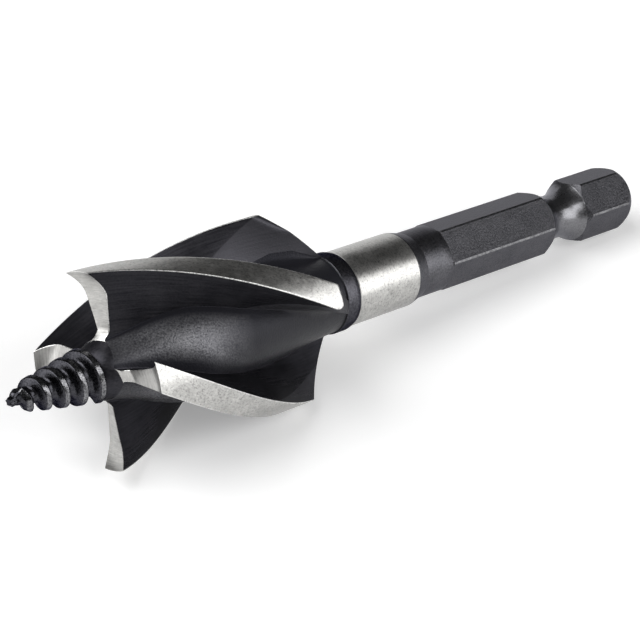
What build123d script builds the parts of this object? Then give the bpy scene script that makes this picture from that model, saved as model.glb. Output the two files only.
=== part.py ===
"""Four-wing self-feeding wood bit with a quarter inch hex shank, one piece of steel.

The bit is drawn about the +Z axis, with the spur tips on the plane z = 0, the
lead screw below that plane and the shank above it. It is then laid down as it
comes to rest on a table, shank towards +X and screw towards -X.
"""
from build123d import *
import math
import os

# Whole bit, all lengths in millimetres and all angles in degrees
overall_length = 82.55
head_diameter = 19.05
head_length = 23.1
wing_count = 4
flute_lead = 101.6

# Wings and flutes
margin_angle = 17.7
wing_back_angle = 14.5
rake_hollow = 0.24
rake_hollow_position = 0.65
hub_front_diameter = 5.74
hub_front_position = 0.55
hub_swell_diameter = 11.0
hub_swell_position = 12.8
hub_front_slope = 0.07
hub_rear_slope = 0.03
rear_cone_angle = 45.0

# Ground front face of each wing
spur_width = 2.3
spur_radius = 3.35
face_drop = 0.92
root_drop = 1.12
root_facet_diameter = 7.3
root_facet_angle = 42.0
spur_relief_rate = 0.0067
face_relief_rate = 0.029
root_relief_rate = 0.0186
wheel_first_angle = -8.0
wheel_last_angle = 32.0

# Lead screw
screw_length = 9.8
screw_pitch = 1.81
screw_start_diameter = 4.94
screw_start_position = -0.37
screw_start_chamfer = 0.3
screw_crest_diameter = 5.84
screw_crest_taper = 0.18
thread_depth = 0.78
crest_width = 0.52
thread_flank_angle = 22.0
first_crest_position = -1.18
thread_end_angle = 86.0
point_length = 2.8
point_flat_diameter = 0.3

# Neck, ground collar and round part of the shank
neck_diameter = 8.16
neck_end = 30.4
neck_chamfer_length = 0.6
collar_diameter = 7.79
collar_end = 38.85
collar_chamfer_length = 1.5
round_diameter = 7.0
round_end = 43.9

# Hex shank
hex_across_flats = 6.35
hex_corner_diameter = 7.2
hex_roll = 18.2
hex_lead_in = 0.8
end_chamfer = 0.5
end_chamfer_crown = 0.03
groove_position = 62.65
groove_length = 6.16
groove_diameter = 4.75

# How the bit lies on the table
rest_roll = -127.431
rest_tilt = 5.65

head_radius = head_diameter / 2
neck_radius = neck_diameter / 2
collar_radius = collar_diameter / 2
round_radius = round_diameter / 2
corner_radius = hex_corner_diameter / 2
hub_front_radius = hub_front_diameter / 2
core_radius = hub_front_radius / 2
screw_start_radius = screw_start_diameter / 2
hub_swell_radius = hub_swell_diameter / 2
crest_radius = screw_crest_diameter / 2
point_flat_radius = point_flat_diameter / 2
hex_end = overall_length - screw_length
wing_spacing = 360 / wing_count
twist_per_mm = 360 / flute_lead
cone_length = (head_radius - neck_radius) / math.tan(math.radians(rear_cone_angle))
wing_end = head_length + cone_length
spare = 1.0
root_overlap = 0.25
section_step = 30


def polar(radius, angle):
    """Point in the XY plane at a radius and an angle in degrees."""
    return (radius * math.cos(math.radians(angle)), radius * math.sin(math.radians(angle)))


def turned(*edges):
    """Solid turned about Z from edges that run from the axis out and back to it, on the XZ plane."""
    first = edges[0] @ 0
    last = edges[-1] @ 1
    closing = Edge.make_line(last, first)
    return Solid.revolve(Face(Wire(list(edges) + [closing])), 360, Axis.Z)


def at(radius, z):
    """Point of a turned outline."""
    return Vector(radius, 0, z)


def chain(points):
    """Straight edges through a list of points."""
    return [Edge.make_line(a, b) for a, b in zip(points, points[1:])]


def rake_height(x):
    """Height of the rake face's circle, which runs from the axis through its hollow to the leading edge."""
    middle = head_radius / 2
    deepest = rake_hollow_position * head_radius
    centre = (rake_hollow**2 + (deepest - middle) ** 2 - middle**2) / (2 * rake_hollow)
    return centre + math.sqrt(middle**2 + centre**2 - (x - middle) ** 2)


def wing_face():
    """Section of one wing across the axis, its hollow rake face and straight back run out past the rim."""
    heel_x, heel_y = polar(head_radius, margin_angle)
    back_slope = math.tan(math.radians(wing_back_angle))
    outer = head_radius + spare
    rake = Edge.make_three_point_arc(
        Vector(0, 0),
        Vector(rake_hollow_position * head_radius, rake_hollow),
        Vector(outer, rake_height(outer)),
    )
    rest = chain([
        Vector(outer, rake_height(outer)),
        Vector(outer, heel_y + (outer - heel_x) * back_slope),
        Vector(0, heel_y - heel_x * back_slope),
        Vector(0, 0),
    ])
    return Face(Wire([rake] + rest))


def wing_section():
    """Cross of all wings on a round core."""
    section = Sketch() + Circle(core_radius)
    for index in range(wing_count):
        section += Rot(0, 0, index * wing_spacing) * wing_face()
    return section.faces()[0]


def fluted_body():
    """Right-hand twisted wings, trimmed to the turned outside of the head."""
    start = -2 * spare
    length = wing_end + 2 * spare - start
    twisted = Solid.extrude_linear_with_rotation(
        section=Rot(0, 0, start * twist_per_mm) * wing_section(),
        center=Vector(0, 0, 0),
        normal=Vector(0, 0, length),
        angle=length * twist_per_mm,
    ).moved(Location((0, 0, start)))
    outside = turned(*chain([
        at(0, -spare),
        at(head_radius, -spare),
        at(head_radius, head_length),
        at(neck_radius, wing_end),
        at(neck_radius, wing_end + spare),
        at(0, wing_end + spare),
    ]))
    return twisted & outside


def face_outline(angle):
    """Cutting outline of one wing's front at an angle behind its leading edge.

    The ground face falls back from the spur at the rim, runs on nearly level
    and turns forward again at the hub. Behind the leading edge it lies
    further back, which gives the cutting edge its clearance.
    """
    face_radius = head_radius - spur_width
    facet_radius = root_facet_diameter / 2
    inner_radius = core_radius
    rim_z = spur_relief_rate * angle
    face_z = face_drop + face_relief_rate * angle
    facet_z = root_drop + root_relief_rate * angle
    inner_z = facet_z - (facet_radius - inner_radius) * math.tan(math.radians(root_facet_angle))
    chord = math.hypot(spur_width, face_drop)
    sag = spur_radius - math.sqrt(spur_radius**2 - (chord / 2) ** 2)
    bulge_z = (face_z + rim_z) / 2 + sag
    end_z = 2 * rim_z - bulge_z
    plane = Plane(origin=(0, 0, 0), x_dir=polar(1, angle) + (0,), z_dir=polar(1, angle - 90) + (0,))
    outline = [
        (inner_radius, -3 * spare),
        (inner_radius, inner_z),
        (facet_radius, facet_z),
        (face_radius, face_z),
        (head_radius - spur_width / 2, bulge_z),
        (head_radius, rim_z),
        (head_radius + spur_width / 2, end_z),
        (head_radius + spur_width / 2, -3 * spare),
    ]
    points = [plane.from_local_coords(Vector(radius, z, 0)) for radius, z in outline]
    spur = Edge.make_three_point_arc(points[3], points[4], points[5])
    lines = chain(points[:4]) + [spur] + chain(points[5:] + points[:1])
    return Wire(lines)


def front_cutter():
    """What the grinding wheel takes off in front of one wing."""
    middle_angle = (wheel_first_angle + wheel_last_angle) / 2
    angles = (wheel_first_angle, middle_angle, wheel_last_angle)
    return Solid.make_loft([face_outline(angle) for angle in angles])


def crest_line(z):
    """Radius of the screw's crests at a height."""
    return crest_radius + screw_crest_taper * z


def screw_envelope():
    """Turned outside of the lead screw's crests, down to its point."""
    point_start = point_length - screw_length
    return turned(*chain([
        at(0, -screw_length),
        at(point_flat_radius, -screw_length),
        at(crest_line(point_start), point_start),
        at(crest_line(spare), spare),
        at(0, spare),
    ]))


def thread_section(angle):
    """Section of the thread's ridge in the half plane at an angle, root side buried in the core."""
    z = first_crest_position + screw_pitch * angle / 360
    top = crest_line(z) + thread_depth / 2
    foot = crest_line(z) - thread_depth - root_overlap
    slope = math.tan(math.radians(thread_flank_angle))
    half_top = crest_width / 2 - slope * thread_depth / 2
    half_foot = crest_width / 2 + slope * (thread_depth + root_overlap)
    corners = [(foot, z - half_foot), (top, z - half_top), (top, z + half_top), (foot, z + half_foot)]
    turn = Rot(0, 0, angle)
    return Wire.make_polygon([at(radius, height) for radius, height in corners], close=True).moved(turn)


def trunk():
    """Everything turned above the screw: swelling hub, neck, collar and round shank."""
    front_reach = (hub_swell_position - hub_front_position) / 3
    rear_reach = (wing_end - hub_swell_position) / 3
    nose = chain([
        at(0, screw_start_position - screw_start_chamfer),
        at(screw_start_radius - screw_start_chamfer, screw_start_position - screw_start_chamfer),
        at(screw_start_radius, screw_start_position),
        at(hub_front_radius, hub_front_position),
    ])
    hub_front = Edge.make_bezier(
        at(hub_front_radius, hub_front_position),
        at(hub_front_radius + front_reach * hub_front_slope, hub_front_position + front_reach),
        at(hub_swell_radius, hub_swell_position - front_reach),
        at(hub_swell_radius, hub_swell_position),
    )
    hub_rear = Edge.make_bezier(
        at(hub_swell_radius, hub_swell_position),
        at(hub_swell_radius, hub_swell_position + rear_reach),
        at(neck_radius + rear_reach * hub_rear_slope, wing_end - rear_reach),
        at(neck_radius, wing_end),
    )
    shank = chain([
        at(neck_radius, wing_end),
        at(neck_radius, neck_end),
        at(collar_radius, neck_end + neck_chamfer_length),
        at(collar_radius, collar_end),
        at(round_radius, collar_end + collar_chamfer_length),
        at(round_radius, round_end),
        at(0, round_end),
    ])
    return turned(*nose, hub_front, hub_rear, *shank)


def hex_shank():
    """Hex shank with eased corners, chamfered end and the turned ball groove."""
    groove_start = groove_position - groove_length / 2
    groove_end = groove_position + groove_length / 2
    groove = Edge.make_three_point_arc(
        at(corner_radius, groove_start),
        at(groove_diameter / 2, groove_position),
        at(corner_radius, groove_end),
    )
    start = chain([
        at(0, round_end - spare),
        at(round_radius, round_end - spare),
        at(round_radius, round_end),
    ])
    lead_in = Edge.make_bezier(
        at(round_radius, round_end),
        at(round_radius, round_end + hex_lead_in / 2),
        at(corner_radius, round_end + hex_lead_in / 2),
        at(corner_radius, round_end + hex_lead_in),
    )
    chamfer_start = at(corner_radius, hex_end - end_chamfer)
    chamfer_end = at(corner_radius - end_chamfer, hex_end)
    crown = end_chamfer_crown / math.sqrt(2)
    chamfer = Edge.make_three_point_arc(
        chamfer_start,
        (chamfer_start + chamfer_end) / 2 + Vector(crown, 0, crown),
        chamfer_end,
    )
    before_groove = chain([at(corner_radius, round_end + hex_lead_in), at(corner_radius, groove_start)])
    after_groove = chain([at(corner_radius, groove_end), chamfer_start])
    end = chain([chamfer_end, at(0, hex_end)])
    outside = turned(*start, lead_in, *before_groove, groove, *after_groove, chamfer, *end)
    prism = Rot(0, 0, hex_roll) * RegularPolygon(hex_across_flats / 2, 6, major_radius=False)
    bar = extrude(Pos(0, 0, round_end - spare) * prism, amount=hex_end - round_end + 2 * spare)
    return bar.solid() & outside


def lead_screw():
    """Tapered core with its right-hand thread, crests trimmed flat by the envelope."""
    core_end = point_length / 3 - screw_length
    core = turned(*chain([
        at(0, -screw_length - spare),
        at(point_flat_radius, -screw_length - spare),
        at(crest_line(core_end) - thread_depth, core_end),
        at(crest_line(0) - thread_depth, 0),
        at(0, 0),
    ]))
    start_angle = 360 * (core_end - first_crest_position) / screw_pitch
    steps = math.ceil((thread_end_angle - start_angle) / section_step)
    step = (thread_end_angle - start_angle) / steps
    ridge = Solid.make_loft([thread_section(start_angle + step * index) for index in range(steps + 1)])
    return (core + ridge) & screw_envelope()


def boring_bit():
    """The whole bit about the +Z axis, as one solid."""
    cutter = front_cutter()
    wheels = [Rot(0, 0, index * wing_spacing) * cutter for index in range(wing_count)]
    wings = fluted_body() - wheels
    return (trunk() + lead_screw() + wings + hex_shank()).solid()


def laid_down(bit):
    """The bit as it rests: on the rims of its wings and on the edge of its hex end."""
    rolled = Rot(0, 0, rest_roll) * bit
    lying = Rot(0, 90 + rest_tilt, 0) * rolled
    box = lying.bounding_box()
    return Pos(-box.center().X, -box.center().Y, -box.min.Z) * lying


if __name__ == "__main__":
    os.makedirs("parts", exist_ok=True)
    part = laid_down(boring_bit())
    part.label = "boring_bit"
    export_step(part, "parts/boring_bit.step")
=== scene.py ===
"""Looks of a four-wing self-feeding wood bit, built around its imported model.

The bit is one piece of steel. Each stretch of it is a class that draws its surface
about the bit's own axis in millimetres, with the spur tips on the plane z = 0, the
lead screw below that plane and the shank above it. The surfaces are then laid down
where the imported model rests, in metres.
"""
import logging
import math
from dataclasses import dataclass, field
from enum import Enum

import bmesh
import bpy
import numpy as np
from mathutils import Matrix, Vector


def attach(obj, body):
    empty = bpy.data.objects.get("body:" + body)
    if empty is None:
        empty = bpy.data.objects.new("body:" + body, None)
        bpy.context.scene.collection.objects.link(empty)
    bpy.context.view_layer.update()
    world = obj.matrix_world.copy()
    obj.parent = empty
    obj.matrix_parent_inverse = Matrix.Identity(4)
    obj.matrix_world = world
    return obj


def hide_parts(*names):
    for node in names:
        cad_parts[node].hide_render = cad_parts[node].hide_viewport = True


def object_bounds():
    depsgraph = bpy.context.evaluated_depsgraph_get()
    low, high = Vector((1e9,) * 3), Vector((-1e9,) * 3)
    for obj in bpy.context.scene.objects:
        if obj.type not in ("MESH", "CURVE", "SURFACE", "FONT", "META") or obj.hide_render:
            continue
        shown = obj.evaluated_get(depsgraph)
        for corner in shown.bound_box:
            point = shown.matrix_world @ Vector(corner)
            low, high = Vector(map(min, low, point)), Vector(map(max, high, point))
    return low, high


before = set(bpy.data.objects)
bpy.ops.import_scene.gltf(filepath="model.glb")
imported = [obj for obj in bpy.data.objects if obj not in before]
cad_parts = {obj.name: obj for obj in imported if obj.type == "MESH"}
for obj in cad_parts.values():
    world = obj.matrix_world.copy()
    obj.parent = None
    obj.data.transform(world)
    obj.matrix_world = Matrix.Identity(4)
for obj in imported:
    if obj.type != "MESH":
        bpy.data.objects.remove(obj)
CAD_LOW, CAD_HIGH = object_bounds()

LOG = logging.getLogger("wood_bit")
BIT_NODE = "boring_bit"
BODY = "root"
METRES_PER_MILLIMETRE = 0.001
# Points nearer than this many millimetres become one, and edges bent by more than this angle stay sharp.
WELD_DISTANCE = 0.0008
SHARP_ANGLE = math.radians(28)
# The wings stand evenly round the axis and make one turn in each lead, which is four inches.
WINGS = 4
SECTOR = 2 * math.pi / WINGS
FLUTE_LEAD = 101.6
TWIST = 2 * math.pi / FLUTE_LEAD
HEX_SIDES = 6
# Faces across a rounded corner, and the largest share of a stretch that its rounding takes.
CURVE_STEPS = 4
ROUNDING_SHARE = 0.4
# Red, green and blue of a colour, and what can stand for a colour in a material.
Shade = tuple[float, float, float]
Colour = Shade | bpy.types.NodeSocket


class Zone(Enum):
    """Parts of the steel's surface that were finished in different ways."""

    FLOOR = "black oxide in the flutes"
    RAKE = "black oxide on the leading faces"
    BACK = "black oxide on the wings' backs"
    NECK = "black oxide on the neck"
    SCREW = "glossy black oxide"
    CREST = "worn oxide on the screw's crests"
    MARGIN = "ground margin"
    FACE = "ground front face"
    # Edges are real ground steel, lightened far past the margin's colour as a painted glint.
    EDGE = "bright edge"
    COLLAR = "satin collar"
    SHANK = "black oxide on the shank"
    CORNER = "worn oxide on the hex corners"
    GROOVE = "worn oxide in the ball groove"


class Run(Enum):
    """What the lines of a finish follow."""

    AXES = "the bit's own axes"
    FLUTES = "the helix of the flutes"
    TURNED = "circles about the bit's axis"


@dataclass(frozen=True)
class RestingPlace:
    """How the bit lies on the table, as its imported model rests.

    Attributes:
        roll: Turn about the bit's own axis, in degrees.
        tilt: Drop of the shank's end below level, in degrees.
        spur_plane: Where the axis meets the plane of the spur tips, in millimetres.
    """

    roll: float = -127.431
    tilt: float = 5.65
    spur_plane: tuple[float, float, float] = (-31.467, 0.0, 10.653)

    def turn(self) -> Matrix:
        """Rotation from the bit's own axes to the row frame."""
        lying = Matrix.Rotation(math.radians(90 + self.tilt), 3, "Y")
        return lying @ Matrix.Rotation(math.radians(self.roll), 3, "Z")

    def place(self, points: np.ndarray) -> np.ndarray:
        """Lays points down.

        Args:
            points: Points about the bit's own axis, in millimetres, one a row.

        Returns:
            The same points in the row frame, in metres.
        """
        turned = points @ np.array(self.turn()).T
        return (turned + np.array(self.spur_plane)) * METRES_PER_MILLIMETRE


RESTING = RestingPlace()


def polar(radius: np.ndarray, angle: np.ndarray, height: np.ndarray) -> np.ndarray:
    """Points at a radius, an angle in radians and a height, with x, y and z last."""
    radius, angle, height = np.broadcast_arrays(radius, angle, height)
    return np.stack([radius * np.cos(angle), radius * np.sin(angle), height], axis=-1)


def spread(start: float, end: float, step: float) -> np.ndarray:
    """Evenly spread values from start to end, no further apart than step."""
    count = max(1, math.ceil(abs(end - start) / step))
    return np.linspace(start, end, count + 1)


def bend(first: np.ndarray, corner: np.ndarray, last: np.ndarray, along: np.ndarray) -> np.ndarray:
    """Points of the quadratic curve that rounds a corner.

    Args:
        first: Where the rounding starts.
        corner: The sharp corner.
        last: Where the rounding ends.
        along: Shares of the way, from 0 to 1.

    Returns:
        One point for each share.
    """
    share = along[..., None]
    return (1 - share) ** 2 * first + 2 * share * (1 - share) * corner + share**2 * last


@dataclass
class Skin:
    """A surface under construction, with the finish of each face.

    Attributes:
        name: Name of the piece that it becomes.
        points: Points placed so far, in millimetres about the bit's axis.
        faces: Corner numbers of each face.
        zones: Finish of each face.
        placed: Number of points placed so far.
    """

    name: str
    points: list[np.ndarray] = field(default_factory=list)
    faces: list[tuple[int, ...]] = field(default_factory=list)
    zones: list[Zone] = field(default_factory=list)
    placed: int = 0

    def net(self, points: np.ndarray, zones: list[Zone] | Zone, closed: bool = False,
            flip: bool = False) -> None:
        """Adds a net of four-sided faces.

        Args:
            points: Net of points, rows by columns by 3.
            zones: Finish of every face, or one finish for each column of faces.
            closed: Whether the last column joins the first.
            flip: Whether the faces look the other way.
        """
        rows, columns = points.shape[:2]
        start = self.placed
        self.points.append(points.reshape(-1, 3))
        self.placed += rows * columns
        for row in range(rows - 1):
            for column in range(columns if closed else columns - 1):
                right = (column + 1) % columns
                a = start + row * columns + column
                b = start + row * columns + right
                corners = (a, b, b + columns, a + columns)
                self.faces.append(corners[::-1] if flip else corners)
                self.zones.append(zones if isinstance(zones, Zone) else zones[column])

    def cap(self, ring: np.ndarray, zone: Zone, flip: bool = False) -> None:
        """Closes a ring with a fan of faces about its middle.

        Args:
            ring: Points round the opening, in order.
            zone: Finish of the faces.
            flip: Whether the faces look the other way.
        """
        start = self.placed
        count = len(ring)
        self.points.append(np.vstack([ring, ring.mean(axis=0)]))
        self.placed += count + 1
        for corner in range(count):
            face = (start + corner, start + (corner + 1) % count, start + count)
            self.faces.append(face[::-1] if flip else face)
            self.zones.append(zone)

    def finished(self, finishes: dict[Zone, bpy.types.Material]) -> bpy.types.Object:
        """Makes the piece and gives it its finishes.

        Args:
            finishes: Material of each zone.

        Returns:
            The new object, welded and laid down in the row frame.
        """
        mesh = bpy.data.meshes.new(self.name)
        mesh.from_pydata(RESTING.place(np.vstack(self.points)).tolist(), [], self.faces)
        used = [zone for zone in Zone if zone in self.zones]
        for zone in used:
            mesh.materials.append(finishes[zone])
        numbers = [used.index(zone) for zone in self.zones]
        mesh.polygons.foreach_set("material_index", numbers)
        reach = WELD_DISTANCE * METRES_PER_MILLIMETRE
        welded = bmesh.new()
        welded.from_mesh(mesh)
        bmesh.ops.remove_doubles(welded, verts=welded.verts, dist=reach)
        bmesh.ops.dissolve_degenerate(welded, edges=welded.edges, dist=reach / 2)
        bmesh.ops.recalc_face_normals(welded, faces=welded.faces)
        welded.to_mesh(mesh)
        welded.free()
        mesh.shade_smooth()
        mesh.set_sharp_from_angle(angle=SHARP_ANGLE)
        piece = bpy.data.objects.new(self.name, mesh)
        bpy.context.scene.collection.objects.link(piece)
        return piece


@dataclass(frozen=True)
class RunOut:
    """Rear facet of a wing's face, where the cutter ran out on a straighter path.

    Attributes:
        radius: Radius at which the facet's front edge is placed, in millimetres.
        place: Place of that edge along the axis, in millimetres.
        slope: How far the edge moves along the axis for each millimetre outwards.
        fall: How deep the facet cuts for each millimetre behind its edge.
        soft: Reach of the finish's change on either side of the edge, in millimetres.
    """

    radius: float
    place: float
    slope: float
    fall: float
    soft: float = 0.12

    def cut(self, radius: np.ndarray, height: np.ndarray) -> np.ndarray:
        """Depth of the facet at a radius and a height along the axis, in millimetres."""
        edge = self.place + self.slope * (radius - self.radius)
        return self.fall * np.maximum(height - edge, 0)


@dataclass
class Hub:
    """The round middle of the head, which swells between the wings.

    Places are along the bit's axis, and lengths are in millimetres.

    Attributes:
        nose_radius: Radius of the nose at its front corner.
        nose_start: Place of that corner.
        nose_chamfer: Width of the chamfer in front of it.
        front_radius: Radius where the nose ends, between the wings.
        front_end: Place where it ends.
        front_slope: Rise of the hub behind the nose, for each millimetre.
        swell_radius: Largest radius.
        swell_place: Place of the largest radius.
        rear_slope: Fall of the hub in front of the neck, for each millimetre.
        neck_radius: Radius where the hub meets the neck.
        end: Place where the hub ends, just inside the neck.
    """

    nose_radius: float = 2.47
    nose_start: float = -0.37
    nose_chamfer: float = 0.3
    front_radius: float = 2.87
    front_end: float = 0.55
    front_slope: float = 0.07
    swell_radius: float = 5.5
    swell_place: float = 10.3
    rear_slope: float = 0.03
    neck_radius: float = 3.92
    end: float = 28.545

    def radius(self, height: np.ndarray) -> np.ndarray:
        """Radius of the hub at heights along the axis.

        Args:
            height: Heights along the axis.

        Returns:
            The radii.
        """
        nose_rise = (self.front_radius - self.nose_radius) / (self.front_end - self.nose_start)
        nose = self.nose_radius + (height - self.nose_start) * nose_rise
        front_reach = (self.swell_place - self.front_end) / 3
        rear_reach = (self.end - self.swell_place) / 3
        rise = self.front_radius + front_reach * self.front_slope
        fall = self.neck_radius + rear_reach * self.rear_slope
        front = self.curve((height - self.front_end) / (3 * front_reach),
                           (self.front_radius, rise, self.swell_radius, self.swell_radius))
        rear = self.curve((height - self.swell_place) / (3 * rear_reach),
                          (self.swell_radius, self.swell_radius, fall, self.neck_radius))
        body = np.where(height < self.swell_place, front, rear)
        return np.where(height < self.front_end, nose, body)

    @staticmethod
    def curve(share: np.ndarray, levels: tuple[float, float, float, float]) -> np.ndarray:
        """Cubic curve drawn by four levels, at shares of its length.

        Args:
            share: Shares of the way along the curve.
            levels: Its first level, the two that draw it between its ends, and its last.

        Returns:
            The level at each share.
        """
        share = np.clip(share, 0, 1)
        rest = 1 - share
        a, b, c, d = levels
        return rest**3 * a + 3 * rest**2 * share * b + 3 * rest * share**2 * c + share**3 * d


@dataclass
class Wing:
    """One of the four wings: its section across the axis and its ground front.

    Places are along the bit's axis, lengths are in millimetres and angles in
    degrees. The reliefs are in millimetres for each degree behind the cutting edge.

    Attributes:
        rim_radius: Radius of the rim.
        rim_end: Place where the rim turns into the rear cone.
        rim_round: Reach of the rounding on either side of that corner.
        cone_slope: Fall of the cone, for each millimetre.
        margin_angle: Width of the margin round the axis.
        back_angle: Lean of the straight back.
        rake_hollow: Depth of the hollow rake face.
        rake_hollow_place: Where that depth is measured, as a share of the rim's radius.
        edge_round: Rounding of the rim's two edges.
        root_round: Rounding at the roots in the middle of the wing.
        front_root_round: Rounding at the roots behind the ground front.
        root_round_end: Place where the front rounding has narrowed to the middle one.
        rear_root_round: What the back's root rounding gains up to the rear cone.
        rear_root_start: Place where it starts to gain.
        heel_round: Reach of the rounded rear corner of the margin.
        heel_depth: How far inwards from the rim that corner draws the back in.
        spur_width: Width of the spur, from the rim inwards.
        spur_radius: Radius of the hollow on the spur's face.
        face_drop: How far the front face's edge lies behind the spur's tip.
        root_drop: How far the root facet's edge lies behind the spur's tip.
        root_facet_radius: Radius inside which the facet turns forward again.
        root_facet_angle: Lean of that facet.
        spur_relief: Relief at the rim.
        face_relief: Relief on the front face.
        root_relief: Relief at the root facet.
        lead_run_out: Rear facet of the rake face.
        back_run_out: Rear facet of the back.
    """

    rim_radius: float = 9.525
    rim_end: float = 23.1
    rim_round: float = 0.12
    cone_slope: float = 1.0
    margin_angle: float = 17.7
    back_angle: float = 14.5
    rake_hollow: float = 0.24
    rake_hollow_place: float = 0.65
    edge_round: float = 0.09
    root_round: float = 0.05
    front_root_round: float = 0.3
    root_round_end: float = 6.0
    rear_root_round: float = 1.2
    rear_root_start: float = 19.5
    heel_round: float = 1.2
    heel_depth: float = 2.2
    spur_width: float = 2.3
    spur_radius: float = 3.35
    face_drop: float = 0.92
    root_drop: float = 1.12
    root_facet_radius: float = 3.65
    root_facet_angle: float = 42.0
    spur_relief: float = 0.0067
    face_relief: float = 0.029
    root_relief: float = 0.0186
    lead_run_out: RunOut = RunOut(8.3, 19.4, -3.6, 0.012)
    back_run_out: RunOut = RunOut(8.3, 20.2, 1.8, 0.045)

    def rim(self, height: np.ndarray) -> np.ndarray:
        """Radius of the wing's rim at heights along the axis, rounded where the rear cone starts.

        Args:
            height: Heights along the axis.

        Returns:
            The radii.
        """
        past = height - self.rim_end
        rounding = self.cone_slope * (past + self.rim_round) ** 2 / (4 * self.rim_round)
        drop = np.where(past > self.rim_round, self.cone_slope * past, rounding)
        return self.rim_radius - np.where(past < -self.rim_round, 0, drop)

    def root_rounding(self, height: np.ndarray) -> np.ndarray:
        """Width of the rounding at the wing's roots, which narrows from the front to its end."""
        share = np.clip(height / self.root_round_end, 0, 1)
        return self.front_root_round + (self.root_round - self.front_root_round) * share

    def back_rounding(self, height: np.ndarray) -> np.ndarray:
        """Width of the rounding at the root of the wing's back, which widens again to the rear cone."""
        share = np.clip((height - self.rear_root_start) / (self.rim_end - self.rear_root_start), 0, 1)
        return self.root_rounding(height) + self.rear_root_round * share

    def lead_angle(self, radius: np.ndarray) -> np.ndarray:
        """Angle of the hollow rake face at a radius, from the leading edge, in radians.

        Args:
            radius: Distances from the axis.

        Returns:
            The angles.
        """
        middle = self.rim_radius / 2
        deepest = self.rake_hollow_place * self.rim_radius
        centre = (self.rake_hollow**2 + (deepest - middle) ** 2 - middle**2) / (2 * self.rake_hollow)
        height = centre + np.sqrt(middle**2 + centre**2 - (radius - middle) ** 2)
        return np.arcsin(height / radius)

    def back_face_angle(self, radius: np.ndarray) -> np.ndarray:
        """Angle of the wing's straight back at a radius, from the leading edge, in radians.

        Args:
            radius: Distances from the axis.

        Returns:
            The angles.
        """
        slope = math.tan(math.radians(self.back_angle))
        heel = math.radians(self.margin_angle)
        offset = self.rim_radius * (math.sin(heel) - slope * math.cos(heel))
        x = (np.sqrt(radius**2 * (1 + slope**2) - offset**2) - slope * offset) / (1 + slope**2)
        return np.arctan2(offset + slope * x, x)

    def heel_cut(self, radius: np.ndarray, height: np.ndarray) -> np.ndarray:
        """How far the rounded rear corner of the margin draws the wing's back in, in millimetres.

        Args:
            radius: Distances from the axis.
            height: Heights along the axis.

        Returns:
            The depths.
        """
        inwards = self.rim_radius - radius
        left = np.clip(self.rim_end + inwards * self.cone_slope - height, 0, self.heel_round)
        arc = self.heel_round - np.sqrt(self.heel_round**2 - (self.heel_round - left) ** 2)
        return arc * np.clip(1 - inwards / self.heel_depth, 0, 1)

    def front(self, radius: np.ndarray, angle: np.ndarray) -> np.ndarray:
        """Height of the ground front at a radius and an angle in radians behind the leading edge.

        Args:
            radius: Distances from the axis.
            angle: Angles behind the leading edge.

        Returns:
            The heights along the axis.
        """
        behind = np.degrees(angle)
        face_radius = self.rim_radius - self.spur_width
        rim = self.spur_relief * behind
        face = self.face_drop + self.face_relief * behind
        facet = self.root_drop + self.root_relief * behind
        chord = math.hypot(self.spur_width, self.face_drop)
        sag = self.spur_radius - math.sqrt(self.spur_radius**2 - (chord / 2) ** 2)
        share = np.clip((radius - face_radius) / self.spur_width, 0, 1)
        spur = face + (rim - face) * share + 4 * sag * share * (1 - share)
        level = (radius - self.root_facet_radius) / (face_radius - self.root_facet_radius)
        middle = facet + (face - facet) * np.clip(level, 0, 1)
        inner = facet - (self.root_facet_radius - radius) * math.tan(math.radians(self.root_facet_angle))
        outer = np.where(radius > face_radius, spur, middle)
        return np.where(radius < self.root_facet_radius, inner, outer)


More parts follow.
